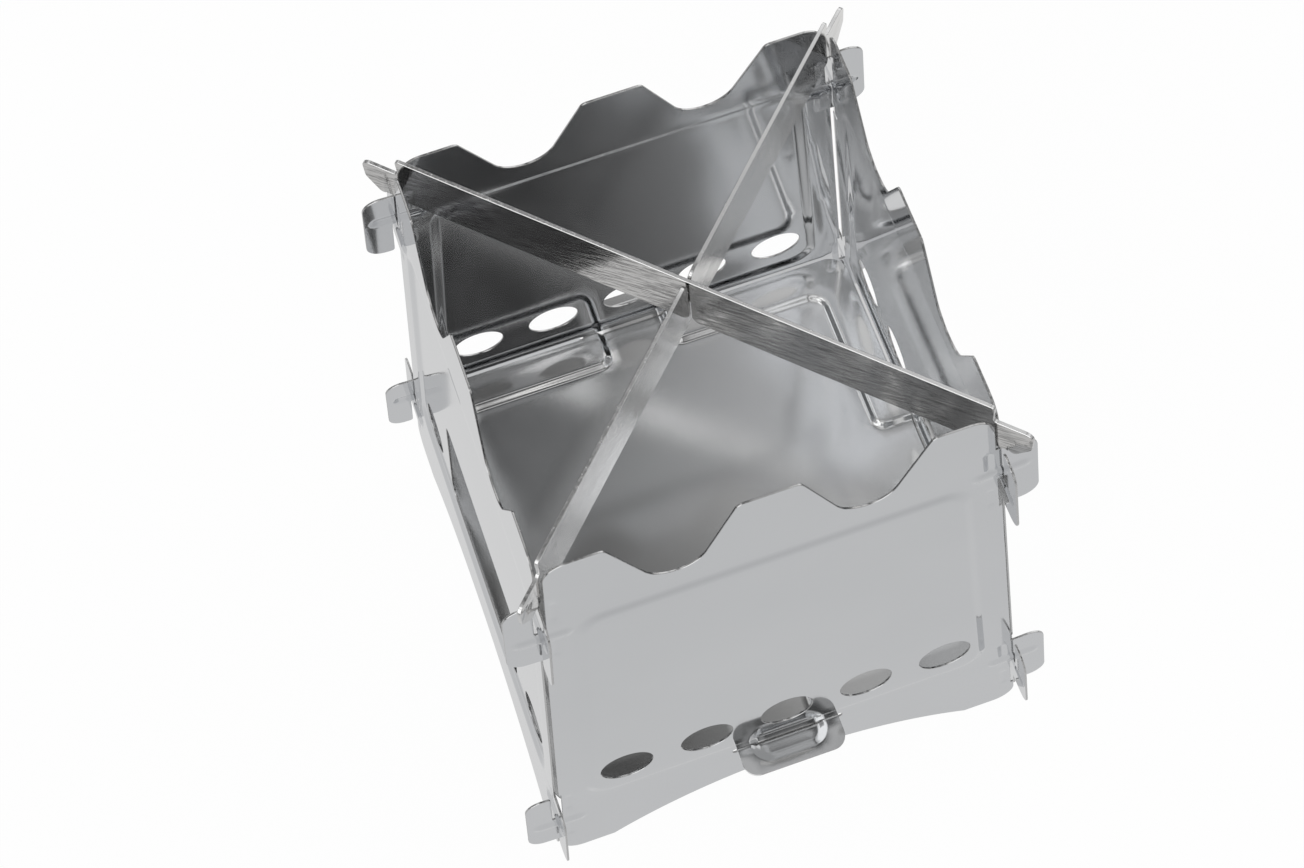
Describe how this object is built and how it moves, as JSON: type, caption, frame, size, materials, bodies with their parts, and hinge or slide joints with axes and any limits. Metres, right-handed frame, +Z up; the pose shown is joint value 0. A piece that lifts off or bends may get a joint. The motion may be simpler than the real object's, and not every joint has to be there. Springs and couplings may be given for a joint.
{
  "type": "twig stove",
  "caption": "Knock-down stainless twig stove with leaning hooked sheet walls, a stoking port, air holes, a pressed floor plate and crossed pot support bars.",
  "frame": {"origin": "on the ground under the middle of the stove", "axes": "+Z up, the front panel faces -Y, and the panel with the stoking port faces -X"},
  "size_m": [0.1274, 0.1274, 0.1498],
  "materials": {
    "wall_steel": "bright rolled stainless sheet, satin outside and mirror-like at a grazing angle",
    "floor_steel": "bright rolled stainless sheet with a soft satin haze",
    "bar_steel": "polished stainless strip with fine diagonal scratches"
  },
  "bodies": {
    "stove_body": {"front_panel": "wall_steel", "right_panel": "wall_steel", "back_panel": "wall_steel", "port_panel": "wall_steel", "floor_plate": "floor_steel"},
    "lower_bar": {"lower_support_bar": "bar_steel"},
    "upper_bar": {"upper_support_bar": "bar_steel"}
  },
  "joints": [
    {"name": "lower_bar_lift", "type": "slide", "parent": "stove_body", "child": "lower_bar", "axis": [0, 0, 1], "range_m": [0, 0.03]},
    {"name": "upper_bar_lift", "type": "slide", "parent": "lower_bar", "child": "upper_bar", "axis": [0, 0, 1], "range_m": [0, 0.03]}
  ]
}
